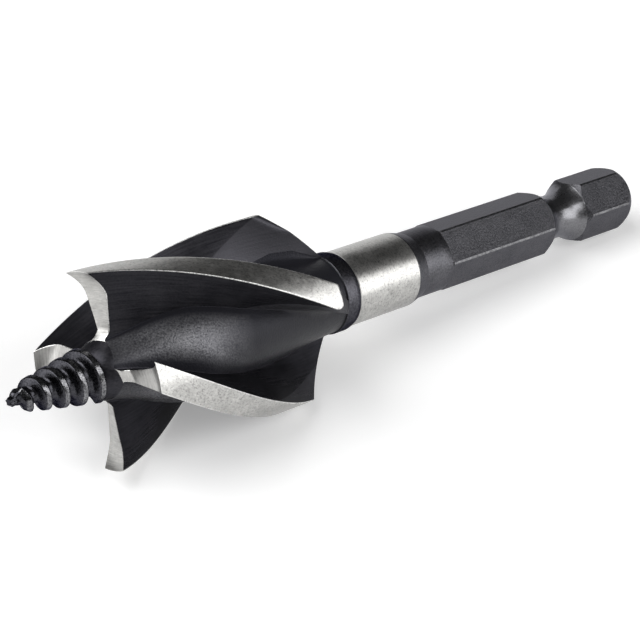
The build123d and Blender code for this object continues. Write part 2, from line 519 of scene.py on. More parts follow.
@dataclass
class FlutedHead:
    """Head with four right-hand helical wings, welded to its hub.

    Attributes:
        hub: The round middle.
        wing: The shape of each wing.
        front_chamfer: Width of the chamfer round each ground front.
        inset_steps: Number of faces over which that chamfer widens from the root.
        steps: Number of faces across each part of one wing's section, by name.
        row_step: Spacing of the section rows.
        corner_step: Spacing of the rows near the rim's rear corner.
        first_height: Height from which the front's own height is sought.
        front_rounds: Number of rounds in that search.
        front_share: Share of the way that a round goes.
        root_rounds: Number of rounds in the search for the front's height on the hub.
        root_share: Share of the way that such a round goes.
    """

    hub: Hub = field(default_factory=Hub)
    wing: Wing = field(default_factory=Wing)
    front_chamfer: float = 0.05
    inset_steps: int = 4
    steps: dict[str, int] = field(
        default_factory=lambda: {
            "lead_root": 6, "rake": 24, "lead_edge": 4, "margin": 12, "heel": 4,
            "back": 24, "back_root": 6, "floor": 20,
        }
    )
    row_step: float = 0.27
    corner_step: float = 0.05
    first_height: float = 0.6
    front_rounds: int = 30
    front_share: float = 0.6
    root_rounds: int = 20
    root_share: float = 0.5

    def stretches(self) -> dict[str, slice]:
        """Columns of one wing's section that belong to each part.

        Returns:
            Slice of the columns, by the part's name.
        """
        found = {}
        start = 0
        for name, count in self.steps.items():
            found[name] = slice(start, start + count)
            start += count
        return found

    def shares(self, name: str) -> np.ndarray:
        """Shares of the way along one part of the section, its end left to the next part."""
        return np.arange(self.steps[name]) / self.steps[name]

    def section(self, height: np.ndarray) -> np.ndarray:
        """Section of one wing and the floor behind it.

        Args:
            height: Height of each column of the section, with the columns last.

        Returns:
            Points in the wing's own untwisted frame, x and y last.
        """
        hub = self.hub.radius(height)
        rim = np.maximum(self.wing.rim(height), hub)
        reach = rim - hub
        edge = np.minimum(self.wing.edge_round, ROUNDING_SHARE * reach)
        root = np.minimum(self.wing.root_rounding(height), ROUNDING_SHARE * reach)
        foot = np.minimum(self.wing.back_rounding(height), ROUNDING_SHARE * reach)
        parts = self.stretches()
        result = np.zeros(height.shape + (2,))

        def lead(radius: np.ndarray) -> np.ndarray:
            """Angle of the rake face and its facet at a radius."""
            return self.wing.lead_angle(radius) + self.wing.lead_run_out.cut(radius, height) / radius

        def back(radius: np.ndarray) -> np.ndarray:
            """Angle of the back, its facet and its heel at a radius."""
            cut = self.wing.back_run_out.cut(radius, height) + self.wing.heel_cut(radius, height)
            return self.wing.back_face_angle(radius) - cut / radius

        def flat(radius: np.ndarray, angle: np.ndarray) -> np.ndarray:
            """Points across the axis at a radius and an angle."""
            return np.stack([radius * np.cos(angle), radius * np.sin(angle)], axis=-1)

        def put(name: str, value: np.ndarray) -> None:
            """Keeps the columns of one part of the section."""
            result[..., parts[name], :] = value[..., parts[name], :]

        along = np.concatenate([self.shares(name) for name in self.steps])
        along = np.broadcast_to(along, height.shape)
        put("lead_root", bend(flat(hub, lead(hub) - root / hub), flat(hub, lead(hub)),
                              flat(hub + root, lead(hub + root)), along))
        rake_radius = hub + root + (reach - edge - root) * along
        put("rake", flat(rake_radius, lead(rake_radius)))
        put("lead_edge", bend(flat(rim - edge, lead(rim - edge)), flat(rim, lead(rim)),
                              flat(rim, lead(rim) + edge / rim), along))
        margin_start = lead(rim) + edge / rim
        margin_end = back(rim) - edge / rim
        put("margin", flat(rim, margin_start + (margin_end - margin_start) * along))
        put("heel", bend(flat(rim, margin_end), flat(rim, back(rim)),
                         flat(rim - edge, back(rim - edge)), along))
        back_radius = rim - edge - (reach - edge - foot) * along
        put("back", flat(back_radius, back(back_radius)))
        put("back_root", bend(flat(hub + foot, back(hub + foot)), flat(hub, back(hub)),
                              flat(hub, back(hub) + foot / hub), along))
        floor_start = back(hub) + foot / hub
        floor_end = SECTOR + lead(hub) - root / hub
        put("floor", flat(hub, floor_start + (floor_end - floor_start) * along))
        return result

    def front_heights(self) -> np.ndarray:
        """Height at which each column of the section starts, on the ground front or on the hub.

        Returns:
            One height for each column.
        """
        parts = self.stretches()
        floor = parts["floor"]
        height = np.full(floor.stop, self.first_height)
        for _ in range(self.front_rounds):
            flat = self.section(height)
            radius = np.hypot(flat[:, 0], flat[:, 1])
            angle = np.arctan2(flat[:, 1], flat[:, 0]) + TWIST * height
            found = self.wing.front(radius, angle)
            height[: floor.start] += self.front_share * (found[: floor.start] - height[: floor.start])
            height[floor] = np.linspace(found[floor.start], height[0], self.steps["floor"] + 1)[:-1]
        return height

    def rows(self, starts: np.ndarray) -> np.ndarray:
        """Heights of all section rows, from the ground front to the neck, with the columns last.

        Args:
            starts: Height at which each column starts.

        Returns:
            The heights, one row for each section row.
        """
        rim_start = self.wing.rim_end - 2 * self.wing.rim_round
        rim_stop = self.wing.rim_end + 2 * self.wing.rim_round
        shares = spread(0, 1, self.row_step / rim_start)
        lower = starts + (rim_start - starts) * shares[:, None]
        corner = spread(rim_start, rim_stop, self.corner_step)[1:]
        upper = spread(rim_stop, self.hub.end, self.row_step)[1:]
        level = np.concatenate([corner, upper])[:, None] * np.ones_like(starts)
        return np.vstack([lower, level])

    def twisted(self, flat: np.ndarray, height: np.ndarray, sector: int) -> np.ndarray:
        """Section points turned to their wing and along the flutes' helix."""
        angle = np.arctan2(flat[..., 1], flat[..., 0]) + TWIST * height + SECTOR * sector
        return polar(np.hypot(flat[..., 0], flat[..., 1]), angle, height)

    def column_zones(self) -> list[Zone]:
        """Finish of each column of faces along one wing's section.

        Returns:
            One finish for each column.
        """
        finish = {
            "lead_root": Zone.RAKE, "rake": Zone.RAKE, "lead_edge": Zone.EDGE, "margin": Zone.MARGIN,
            "heel": Zone.EDGE, "back": Zone.BACK, "back_root": Zone.FLOOR, "floor": Zone.FLOOR,
        }
        return [finish[name] for name, count in self.steps.items() for _ in range(count)]

    def front_net(self, flat: np.ndarray, height: np.ndarray) -> np.ndarray:
        """Net over one wing's ground front, filled in between its four sides.

        Args:
            flat: The section's first row, untwisted.
            height: Height of that row.

        Returns:
            Radius and angle of each point, from root to rim and from cutting edge to back.
        """
        parts = self.stretches()
        radius = np.hypot(flat[:, 0], flat[:, 1])
        angle = np.arctan2(flat[:, 1], flat[:, 0]) + TWIST * height
        up = slice(0, parts["lead_edge"].start + 1)
        across = slice(parts["lead_edge"].start, parts["back"].start + 1)
        down = slice(parts["back"].start, parts["floor"].start + 1)
        lead = np.stack([radius[up], angle[up]], axis=-1)
        rim = np.stack([radius[across], angle[across]], axis=-1)
        back = np.stack([radius[down], angle[down]], axis=-1)[::-1]
        inset = self.front_chamfer * np.minimum(1, np.arange(len(lead)) / self.inset_steps)
        lead[:, 1] += inset / lead[:, 0]
        back[:, 1] -= inset / back[:, 0]
        rim[:, 0] -= self.front_chamfer
        lead[-1] = rim[0] = [rim[0, 0], lead[-1, 1]]
        back[-1] = rim[-1] = [rim[-1, 0], back[-1, 1]]
        u = np.linspace(0, 1, len(lead))[:, None, None]
        v = np.linspace(0, 1, len(rim))[None, :, None]
        root_angle = np.linspace(lead[0, 1], back[0, 1], len(rim))
        root_height = np.linspace(height[0], height[parts["floor"].start], len(rim))
        for _ in range(self.root_rounds):
            root_radius = self.hub.radius(root_height)
            found = self.wing.front(root_radius, root_angle)
            root_height = root_height + self.root_share * (found - root_height)
        root = np.stack([root_radius, root_angle], axis=-1)
        root[0], root[-1] = lead[0], back[0]
        sides = (1 - v) * lead[:, None] + v * back[:, None] + (1 - u) * root[None] + u * rim[None]
        corners = ((1 - u) * (1 - v) * lead[0] + (1 - u) * v * back[0]
                   + u * (1 - v) * lead[-1] + u * v * back[-1])
        return sides - corners

    def build(self) -> Skin:
        """Draws the whole head.

        Returns:
            The closed surface.
        """
        skin = Skin("fluted_head")
        starts = self.front_heights()
        rows = self.rows(starts)
        parts = self.stretches()
        rows[0, parts["rake"].start: parts["back"].stop] += self.front_chamfer
        walls = self.section(rows)
        net = self.front_net(self.section(starts), starts)
        heights = self.wing.front(net[..., 0], net[..., 1])
        heights[0, 0], heights[0, -1] = starts[0], starts[parts["floor"].start]
        outline = self.outline_of(net, heights)
        zones = self.column_zones()
        around = []
        ring = []
        for sector in range(WINGS):
            around.append(self.twisted(walls, rows, sector))
            face = polar(net[..., 0], net[..., 1] + SECTOR * sector, heights)
            skin.net(face, Zone.FACE, flip=True)
            rim = polar(outline[:, 0], outline[:, 1] + SECTOR * sector, outline[:, 2])
            first = around[-1][0, : len(rim)]
            skin.net(np.stack([rim, first]), Zone.EDGE)
            ring.append(np.vstack([face[0, :-1], around[-1][0, parts["floor"]]]))
        walls_round = np.concatenate(around, axis=1)
        cone = int(np.searchsorted(rows[:, 0], self.wing.rim_end))
        black = [Zone.BACK if zone in (Zone.MARGIN, Zone.EDGE) else zone for zone in zones]
        skin.net(walls_round[: cone + 1], zones * WINGS, closed=True)
        skin.net(walls_round[cone:], black * WINGS, closed=True)
        self.add_nose(skin, np.vstack(ring))
        skin.cap(walls_round[-1], Zone.FLOOR)
        return skin

    def outline_of(self, net: np.ndarray, heights: np.ndarray) -> np.ndarray:
        """Edge of the front net from root along the cutting edge, the rim and back to the root."""
        whole = np.dstack([net, heights])
        return np.vstack([whole[:, 0], whole[-1, 1:], whole[-2::-1, -1]])

    def add_nose(self, skin: Skin, ring: np.ndarray) -> None:
        """Adds the hub's nose in front of the wings, down to the lead screw.

        Args:
            skin: The head's surface so far.
            ring: Points round the wings' roots and the flutes' floors, where the nose meets them.
        """
        angle = np.arctan2(ring[:, 1], ring[:, 0])
        base = polar(self.hub.nose_radius, angle, self.hub.nose_start)
        tip_radius = self.hub.nose_radius - self.hub.nose_chamfer
        tip = polar(tip_radius, angle, self.hub.nose_start - self.hub.nose_chamfer)
        skin.net(np.stack([tip, base, ring]), Zone.BACK, closed=True)
        skin.cap(tip, Zone.BACK, flip=True)


@dataclass
class LeadScrew:
    """Tapered core with a coarse right-hand thread that pulls the bit into the wood.

    Places are along the bit's axis, lengths are in millimetres and angles in degrees.

    Attributes:
        length: Length in front of the spur tips.
        pitch: Distance from crest to crest.
        crest_radius: Radius of the crests in the plane of the spur tips.
        taper: Growth of the radius, for each millimetre.
        depth: Depth of the thread.
        crest_width: Width of the crests.
        flank_angle: Lean of the flanks.
        crest_round: Rounding of the crests' edges.
        crest_share: Share of the thread's depth above which a face is part of the crest.
        root_round: Rounding at the foot of the flanks.
        root_gap: What the rounding leaves free of the root's middle.
        first_crest: Place of the crest from which the turns are counted.
        end_angle: Where the ridge ends, counted from that crest.
        point_length: Length of the stretch in which the crests draw in to the point.
        point_radius: Radius of the blunt point.
        ragged: How uneven the point is, as a share of its radius.
        ragged_lobes: Number of bumps round the point.
        ragged_lean: How far the bumps turn, in radians for each millimetre.
        core_end: Place where the core starts to draw in.
        hidden_end: Place where the screw ends, inside the nose.
        turn_steps: Number of faces in a turn.
    """

    length: float = 9.77
    pitch: float = 1.81
    crest_radius: float = 2.92
    taper: float = 0.18
    depth: float = 0.78
    crest_width: float = 0.6
    flank_angle: float = 22.0
    crest_round: float = 0.09
    crest_share: float = 0.995
    root_round: float = 0.2
    root_gap: float = 0.02
    first_crest: float = -1.18
    end_angle: float = 86.0
    point_length: float = 2.1
    point_radius: float = 0.32
    ragged: float = 0.16
    ragged_lobes: int = 5
    ragged_lean: float = 3.0
    core_end: float = -8.867
    hidden_end: float = 0.05
    turn_steps: int = 90

    def crest(self, height: np.ndarray) -> np.ndarray:
        """Radius of the crests at heights along the axis, drawn in to the point.

        Args:
            height: Heights along the axis.

        Returns:
            The radii.
        """
        line = self.crest_radius + self.taper * height
        point_start = self.point_length - self.length
        start_radius = self.crest_radius + self.taper * point_start
        slope = (start_radius - self.point_radius) / self.point_length
        return np.minimum(line, self.point_radius + (height + self.length) * slope)

    def core(self, height: np.ndarray) -> np.ndarray:
        """Radius of the core at heights along the axis.

        Args:
            height: Heights along the axis.

        Returns:
            The radii.
        """
        line = self.crest_radius - self.depth + self.taper * height
        end_radius = self.crest_radius - self.depth + self.taper * self.core_end
        slope = (end_radius - self.point_radius) / (self.core_end + self.length)
        return np.minimum(line, self.point_radius + (height + self.length) * slope)

    def profile(self) -> tuple[np.ndarray, np.ndarray]:
        """Half of the thread's profile, from the middle of its crest to the middle of its root.

        Returns:
            Distances from the crest's middle along the axis, and shares of the thread's depth.
        """
        slope = math.tan(math.radians(self.flank_angle))
        crest_half = self.crest_width / 2
        foot_half = crest_half + slope * self.depth
        corners = [
            (crest_half - self.crest_round, 1.0),
            (crest_half, 1.0),
            (crest_half + slope * self.crest_round, 1 - self.crest_round / self.depth),
            (foot_half - slope * self.root_round, self.root_round / self.depth),
            (foot_half, 0.0),
            (min(foot_half + self.root_round, self.pitch / 2 - self.root_gap), 0.0),
        ]
        points = np.array(corners)
        share = np.linspace(0, 1, CURVE_STEPS + 1)
        crest = bend(points[0], points[1], points[2], share)
        root = bend(points[3], points[4], points[5], share)
        flank = points[2] + (points[3] - points[2]) * share[1:-1, None]
        whole = np.vstack([[0.0, 1.0], crest, flank, root, [self.pitch / 2, 0.0]])
        return whole[:, 0], whole[:, 1]

    def unevenness(self, angle: np.ndarray, height: np.ndarray | float) -> np.ndarray:
        """What the radius is multiplied by to leave the point ragged.

        Args:
            angle: Angles round the axis, in radians.
            height: Heights along the axis.

        Returns:
            The factors, which are 1 from a pitch behind the point on.
        """
        near_point = np.clip(1 - (height + self.length) / self.pitch, 0, 1)
        bumps = np.sin(self.ragged_lobes * angle + self.ragged_lean * height)
        return 1 + self.ragged * near_point * bumps

    def build(self) -> Skin:
        """Draws the screw as one band that winds from the point to the head.

        Returns:
            The closed surface.
        """
        offset, depth_share = self.profile()
        offset = np.concatenate([-offset[:0:-1], offset])
        depth_share = np.concatenate([depth_share[:0:-1], depth_share])
        step = 2 * math.pi / self.turn_steps
        first = math.floor((-self.length - self.pitch - self.first_crest) / self.pitch * self.turn_steps)
        last = math.ceil((self.hidden_end + self.pitch - self.first_crest) / self.pitch * self.turn_steps)
        angle = np.arange(first, last + 1) * step
        middle = self.first_crest + self.pitch * angle / (2 * math.pi)
        height = np.clip(middle[:, None] + offset, -self.length, self.hidden_end)
        ridge = np.where(angle < math.radians(self.end_angle), 1.0, 0.0)[:, None] * depth_share
        radius = self.core(height) + ridge * np.maximum(self.crest(height) - self.core(height), 0)
        radius = radius * self.unevenness(angle[:, None], height)
        skin = Skin("lead_screw")
        on_crest = np.minimum(depth_share[1:], depth_share[:-1]) > self.crest_share
        zones = [Zone.CREST if crest else Zone.SCREW for crest in on_crest]
        skin.net(polar(radius, angle[:, None], height), zones, flip=True)
        whole_turn = np.arange(self.turn_steps) * step
        point = self.point_radius * self.unevenness(whole_turn, -self.length)
        skin.cap(polar(point, whole_turn, -self.length), Zone.SCREW, flip=True)
        skin.cap(polar(self.core(np.array(self.hidden_end)), whole_turn, self.hidden_end), Zone.SCREW)
        return skin


@dataclass
class Collar:
    """Black neck ring behind the wings and the ground collar after it.

    Places are along the bit's axis, and lengths are in millimetres.

    Attributes:
        hidden_start: Place where the surface starts, inside the wings' cone.
        hidden_radius: Radius there.
        neck_start: Place of the neck ring's front edge.
        neck_radius: Radius of the neck ring.
        neck_end: Place where the ring's chamfer starts.
        neck_chamfer: Length of that chamfer.
        radius: Radius of the ground collar.
        end: Place where the collar ends.
        chamfer: Length of the chamfer behind it.
        round_radius: Radius of the shank's round part.
        hidden_end: Place where the surface ends, inside the shank.
        rounding: Reach of the rounding on either side of each corner.
        around: Number of faces round the axis.
    """

    hidden_start: float = 28.45
    hidden_radius: float = 3.6
    neck_start: float = 28.52
    neck_radius: float = 4.08
    neck_end: float = 29.9
    neck_chamfer: float = 0.6
    radius: float = 3.895
    end: float = 38.85
    chamfer: float = 1.5
    round_radius: float = 3.5
    hidden_end: float = 40.6
    rounding: float = 0.12
    around: int = 144

    def build(self) -> Skin:
        """Draws the neck ring and the collar as one turned surface.

        Returns:
            The closed surface.
        """
        outline = [
            (self.hidden_start, self.hidden_radius, Zone.CORNER),
            (self.neck_start, self.neck_radius, Zone.NECK),
            (self.neck_end, self.neck_radius, Zone.NECK),
            (self.neck_end + self.neck_chamfer, self.radius, Zone.COLLAR),
            (self.end, self.radius, Zone.SHANK),
            (self.end + self.chamfer, self.round_radius, Zone.SHANK),
            (self.hidden_end, self.round_radius - self.rounding, Zone.SHANK),
        ]
        return turned_skin("neck_and_collar", outline, self.rounding, self.around)


def turned_skin(name: str, outline: list[tuple[float, float, Zone]], rounding: float, around: int) -> Skin:
    """Turned surface with its corners rounded.

    Args:
        name: Name of the piece.
        outline: Place along the axis, radius, and finish of the stretch that follows.
        rounding: Length of each corner's rounding on either side.
        around: Number of faces round the axis.

    Returns:
        The closed surface.
    """
    corners = np.array([(place, radius) for place, radius, _ in outline])
    points = [corners[0]]
    zones = []
    for index in range(1, len(corners) - 1):
        before = corners[index - 1] - corners[index]
        after = corners[index + 1] - corners[index]
        longest = ROUNDING_SHARE * min(np.linalg.norm(before), np.linalg.norm(after))
        size = min(rounding, longest)
        first = corners[index] + before / np.linalg.norm(before) * size
        last = corners[index] + after / np.linalg.norm(after) * size
        curve = bend(first, corners[index], last, np.linspace(0, 1, CURVE_STEPS + 1))
        points += list(curve)
        zones += [outline[index - 1][2]] + [outline[index][2]] * CURVE_STEPS
    points.append(corners[-1])
    zones.append(outline[-2][2])
    skin = Skin(name)
    angle = np.arange(around) * 2 * math.pi / around
    rings = [polar(radius, angle, place) for place, radius in points]
    for zone, first, last in zip(zones, rings, rings[1:]):
        skin.net(np.stack([first, last]), zone, closed=True)
    skin.cap(rings[0], zones[0], flip=True)
    skin.cap(rings[-1], zones[-1])
    return skin


@dataclass
class HexShank:
    """Round part and quarter inch hex of the shank, with its turned ball groove.

    Places are along the bit's axis, lengths are in millimetres and angles in degrees.

    Attributes:
        hidden_start: Place where the surface starts, inside the collar.
        round_radius: Radius of the round part.
        round_end: Place where the round part ends.
        round_row: Length of the round part's last long row.
        ledge: Width of the rounded step from the round part down to the flats.
        flat_radius: Distance of the flats from the axis.
        corner_radius: Radius of the turned corners.
        corner_play: How far under that radius a row still has its full corners.
        roll: Turn of the hex about the axis.
        lead_in: Length of the rise from the round part to the corners.
        end: Place of the shank's end.
        end_chamfer: Fall of the chamfer at the end.
        end_chamfer_length: Length of that chamfer.
        end_crown: Share of the chamfer's fall that comes from its crowning.
        end_edge: Length of the small break between the chamfer and the end.
        end_edge_fall: Fall of that break.
        groove_place: Place of the ball groove's middle.
        groove_length: Length of the groove at the corners.
        groove_radius: Radius at the groove's middle.
        flat_steps: Number of faces across a flat.
        corner_steps: Number of faces across a corner.
        row_step: Spacing of the plain rows.
        lead_steps: Number of rows in the lead-in.
        side_steps: Number of rows in which the groove cuts through the corners.
        arc_steps: Number of rows from there to the groove's middle, and in the chamfer.
        narrowest: Half width that a flat's columns keep where the groove has cut it away.
        worn_radius: Radius under which the groove is worn bright.
    """

    hidden_start: float = 39.6
    round_radius: float = 3.5
    round_end: float = 43.9
    round_row: float = 1.0
    ledge: float = 0.05
    flat_radius: float = 3.175
    corner_radius: float = 3.6
    corner_play: float = 0.01
    roll: float = 18.2
    lead_in: float = 0.25
    end: float = 72.75
    end_chamfer: float = 0.5
    end_chamfer_length: float = 1.1
    end_crown: float = 0.4
    end_edge: float = 0.04
    end_edge_fall: float = 0.06
    groove_place: float = 62.65
    groove_length: float = 6.16
    groove_radius: float = 2.375
    flat_steps: int = 14
    corner_steps: int = 6
    row_step: float = 0.5
    lead_steps: int = 6
    side_steps: int = 11
    arc_steps: int = 13
    narrowest: float = 1.5
    worn_radius: float = 3.2

    def groove_circle(self) -> tuple[float, float]:
        """Radius of the groove's arc, and distance of its middle from the axis.

        Returns:
            Both lengths.
        """
        half = self.groove_length / 2
        depth = self.corner_radius - self.groove_radius
        arc = (half**2 + depth**2) / (2 * depth)
        return arc, self.groove_radius + arc

    def groove_row(self, radius: float) -> float:
        """Distance from the groove's middle at which it has a radius."""
        arc, middle = self.groove_circle()
        return math.sqrt(max(arc**2 - (middle - radius) ** 2, 0.0))

    def rows(self) -> list[tuple[float, float]]:
        """Place along the axis and turned radius of each row of the hex.

        Returns:
            One pair for each row, from the round part to the shank's end.
        """
        rows = []
        for share in np.linspace(0, 1, self.lead_steps + 1):
            swell = share * share * (3 - 2 * share)
            rows.append((self.round_end + share * self.lead_in,
                         self.round_radius + swell * (self.corner_radius - self.round_radius)))
        half = self.groove_length / 2
        for place in spread(rows[-1][0], self.groove_place - half, self.row_step)[1:-1]:
            rows.append((place, self.corner_radius))
        widest = math.acos(self.flat_radius / self.corner_radius)
        turns = np.linspace(widest, 0, self.side_steps + 1)
        side = [self.flat_radius / math.cos(angle) for angle in turns]
        side += list(np.linspace(self.flat_radius, self.groove_radius, self.arc_steps + 1)[1:])
        down = [(-self.groove_row(radius), radius) for radius in side]
        up = [(-place, radius) for place, radius in down[-2::-1]]
        rows += [(self.groove_place + place, radius) for place, radius in down + up]
        chamfer_start = self.end - self.end_chamfer_length
        for place in spread(self.groove_place + half, chamfer_start, self.row_step)[1:-1]:
            rows.append((place, self.corner_radius))
        sloped = self.end_chamfer_length - self.end_edge
        for share in np.linspace(0, 1, self.arc_steps + 1):
            fall = self.end_chamfer * ((1 - self.end_crown) * share + self.end_crown * share**2)
            rows.append((chamfer_start + share * sloped, self.corner_radius - fall))
        rows.append((self.end, self.corner_radius - self.end_chamfer - self.end_edge_fall))
        return rows

    def row_zones(self, first: float, last: float) -> list[Zone] | Zone:
        """Finish of the faces between two rows of the hex, from their turned radii.

        Args:
            first: The first row's turned radius.
            last: The next row's.

        Returns:
            One finish, or one for each column of faces.
        """
        if min(first, last) > self.corner_radius - self.corner_play:
            side = [Zone.SHANK] * self.flat_steps + [Zone.CORNER] * self.corner_steps
            return side * HEX_SIDES
        return Zone.GROOVE if max(first, last) < self.worn_radius else Zone.SHANK

    def ring(self, place: float, turned: float) -> np.ndarray:
        """One row round the hex, its points gathered where flats meet the turned outside.

        Args:
            place: Place of the row along the axis.
            turned: Radius of the turned outside there.

        Returns:
            The points of the row.
        """
        half_flat = math.acos(min(self.flat_radius / turned, 1.0))
        half_flat = max(half_flat, math.radians(self.narrowest))
        side = 2 * math.pi / HEX_SIDES
        flat = np.linspace(-half_flat, half_flat, self.flat_steps + 1)[:-1]
        corner = np.linspace(half_flat, side - half_flat, self.corner_steps + 1)[:-1]
        angle = np.concatenate([flat, corner])
        flat_line = self.flat_radius / np.cos(np.where(angle < half_flat, angle, 0))
        radius = np.where(angle < half_flat, np.minimum(flat_line, turned), turned)
        start = math.radians(self.roll + 180 / HEX_SIDES)
        every = np.concatenate([angle + side * index + start for index in range(HEX_SIDES)])
        return polar(np.tile(radius, HEX_SIDES), every, place)

    def build(self) -> Skin:
        """Draws the round part and the hex as one surface.

        Returns:
            The closed surface.
        """
        rows = self.rows()
        rings = [self.ring(place, radius) for place, radius in rows]
        angle = np.arctan2(rings[0][:, 1], rings[0][:, 0])
        step = self.round_end - self.ledge / 3
        on_corner = np.hypot(rings[0][:, 0], rings[0][:, 1]) > self.round_radius - self.ledge
        rounds = [
            polar(self.round_radius, angle, self.hidden_start),
            polar(self.round_radius, angle, self.round_end - self.round_row),
            polar(self.round_radius, angle, self.round_end - self.ledge),
            np.where(on_corner[:, None], polar(self.round_radius, angle, step),
                     polar(self.round_radius - self.ledge / 3, angle, step)),
        ]
        skin = Skin("hex_shank")
        skin.net(np.stack(rounds + rings[:1]), Zone.SHANK, closed=True)
        for index in range(len(rings) - 1):
            zones = self.row_zones(rows[index][1], rows[index + 1][1])
            skin.net(np.stack(rings[index: index + 2]), zones, closed=True)
        skin.cap(rounds[0], Zone.SHANK, flip=True)
        skin.cap(rings[-1], Zone.SHANK)
        return skin


class Nodes:
    """Short way to lay out a material's nodes."""

    def __init__(self, name: str) -> None:
        """Starts an empty material with its output and shader.

        Args:
            name: Name of the material.
        """
        self.material = bpy.data.materials.new(name)
        self.material.use_nodes = True
        self.tree = self.material.node_tree
        self.shader = self.tree.nodes["Principled BSDF"]

    def add(self, kind: str, settings: dict[str, object] | None = None, **inputs: object) -> bpy.types.Node:
        """Adds a node.

        Args:
            kind: The node's type name.
            settings: Properties of the node.
            inputs: Socket values or sockets to join, by socket name with underscores for spaces.

        Returns:
            The node.
        """
        node = self.tree.nodes.new(kind)
        for key, value in (settings or {}).items():
            setattr(node, key, value)
        for key, value in inputs.items():
            self.feed(node.inputs[key.replace("_", " ")], value)
        return node

    def feed(self, socket: bpy.types.NodeSocket, value: object) -> None:
        """Joins a socket to another, or sets its value.

        Args:
            socket: The socket to set.
            value: A socket, a number, a colour or a vector.
        """
        if isinstance(value, bpy.types.NodeSocket):
            self.tree.links.new(value, socket)
        else:
            socket.default_value = value

    def maths(self, operation: str, *values: object) -> bpy.types.NodeSocket:
        """Result of a sum on values or sockets.

        Args:
            operation: The sum's name.
            values: Numbers or sockets.

        Returns:
            The result's socket.
        """
        node = self.add("ShaderNodeMath", {"operation": operation})
        for socket, value in zip(node.inputs, values):
            self.feed(socket, value)
        return node.outputs[0]

    def bit_place(self) -> bpy.types.NodeSocket:
        """Place on the bit, in millimetres about its own axis.

        Returns:
            The place's socket.
        """
        turn = RESTING.turn().transposed()
        shift = turn @ Vector(RESTING.spur_plane)
        scale = 1 / METRES_PER_MILLIMETRE
        place = self.add("ShaderNodeTexCoord").outputs["Object"]
        large = self.add("ShaderNodeVectorMath", {"operation": "SCALE"}, Vector=place, Scale=scale)
        mapping = self.add(
            "ShaderNodeMapping", Vector=large.outputs[0],
            Rotation=turn.to_euler("XYZ"), Location=-shift,
        )
        return mapping.outputs[0]

    def untwisted(self, place: bpy.types.NodeSocket) -> bpy.types.NodeSocket:
        """The place with the flutes' twist taken out, so that they run straight along z.

        Args:
            place: Place on the bit, in millimetres.

        Returns:
            The untwisted place.
        """
        height = self.add("ShaderNodeSeparateXYZ", Vector=place).outputs["Z"]
        angle = self.maths("MULTIPLY", height, -TWIST)
        node = self.add("ShaderNodeVectorRotate", {"rotation_type": "Z_AXIS"}, Vector=place, Angle=angle)
        return node.outputs[0]

    def turned(self, place: bpy.types.NodeSocket) -> bpy.types.NodeSocket:
        """The place as radius, angle in radians and height.

        Args:
            place: Place on the bit, in millimetres.

        Returns:
            The three, as x, y and z.
        """
        parts = self.add("ShaderNodeSeparateXYZ", Vector=place).outputs
        angle = self.maths("ARCTAN2", parts["Y"], parts["X"])
        return self.add("ShaderNodeCombineXYZ", X=self.radius(place), Y=angle, Z=parts["Z"]).outputs[0]

    def radius(self, place: bpy.types.NodeSocket) -> bpy.types.NodeSocket:
        """Distance of the place from the bit's axis."""
        flat = self.stretched(place, (1.0, 1.0, 0.0))
        return self.add("ShaderNodeVectorMath", {"operation": "LENGTH"}, Vector=flat).outputs["Value"]

    def along(self, place: bpy.types.NodeSocket, run: Run) -> bpy.types.NodeSocket:
        """The place as seen along what a finish's lines follow.

        Args:
            place: Place on the bit, in millimetres.
            run: What the lines follow.

        Returns:
            The place in those terms.
        """
        if run is Run.FLUTES:
            return self.untwisted(place)
        if run is Run.TURNED:
            return self.turned(place)
        return place

    def stretched(self, place: bpy.types.NodeSocket,
                  scale: tuple[float, float, float]) -> bpy.types.NodeSocket:
        """The place scaled along each axis.

        Args:
            place: Place on the bit, in millimetres.
            scale: Scale along x, y and z.

        Returns:
            The scaled place.
        """
        node = self.add("ShaderNodeVectorMath", {"operation": "MULTIPLY"}, Vector=place)
        node.inputs[1].default_value = scale
        return node.outputs[0]

    def noise(self, place: bpy.types.NodeSocket, scale: float, detail: float = 3.0,
              rough: float = 0.55) -> bpy.types.NodeSocket:
        """Noise at a scale, one feature for each millimetre at a scale of 1."""
        node = self.add("ShaderNodeTexNoise", Vector=place, Scale=scale, Detail=detail, Roughness=rough)
        return node.outputs["Fac"]

    def between(self, value: bpy.types.NodeSocket, low: float, high: float,
                first: float, last: float) -> bpy.types.NodeSocket:
        """A value's range mapped to another range, with its ends held.

        Args:
            value: The value.
            low: Start of its range.
            high: End of its range.
            first: What the start becomes.
            last: What the end becomes.

        Returns:
            The mapped value.
        """
        node = self.add("ShaderNodeMapRange")
        for socket, number in zip(node.inputs, (value, low, high, first, last)):
            self.feed(socket, number)
        return node.outputs[0]

    def mixed(self, share: bpy.types.NodeSocket, first: Colour, last: Colour) -> bpy.types.NodeSocket:
        """Colour between two colours, either of which may vary over the surface.

        Args:
            share: The last colour's share.
            first: Colour at a share of 0.
            last: Colour at a share of 1.

        Returns:
            The colour's socket.
        """
        node = self.add("ShaderNodeMix", {"data_type": "RGBA"}, Factor=share)
        sockets = [socket for socket in node.inputs if socket.type == "RGBA"]
        for socket, colour in zip(sockets, (first, last)):
            self.feed(socket, (*colour, 1) if isinstance(colour, tuple) else colour)
        return next(socket for socket in node.outputs if socket.type == "RGBA")

    def blend(self, share: float, first: bpy.types.NodeSocket,
              last: bpy.types.NodeSocket) -> bpy.types.NodeSocket:
        """Weighted mean of two values, the share being the last one's weight."""
        parts = self.maths("MULTIPLY", first, 1 - share), self.maths("MULTIPLY", last, share)
        return self.maths("ADD", *parts)

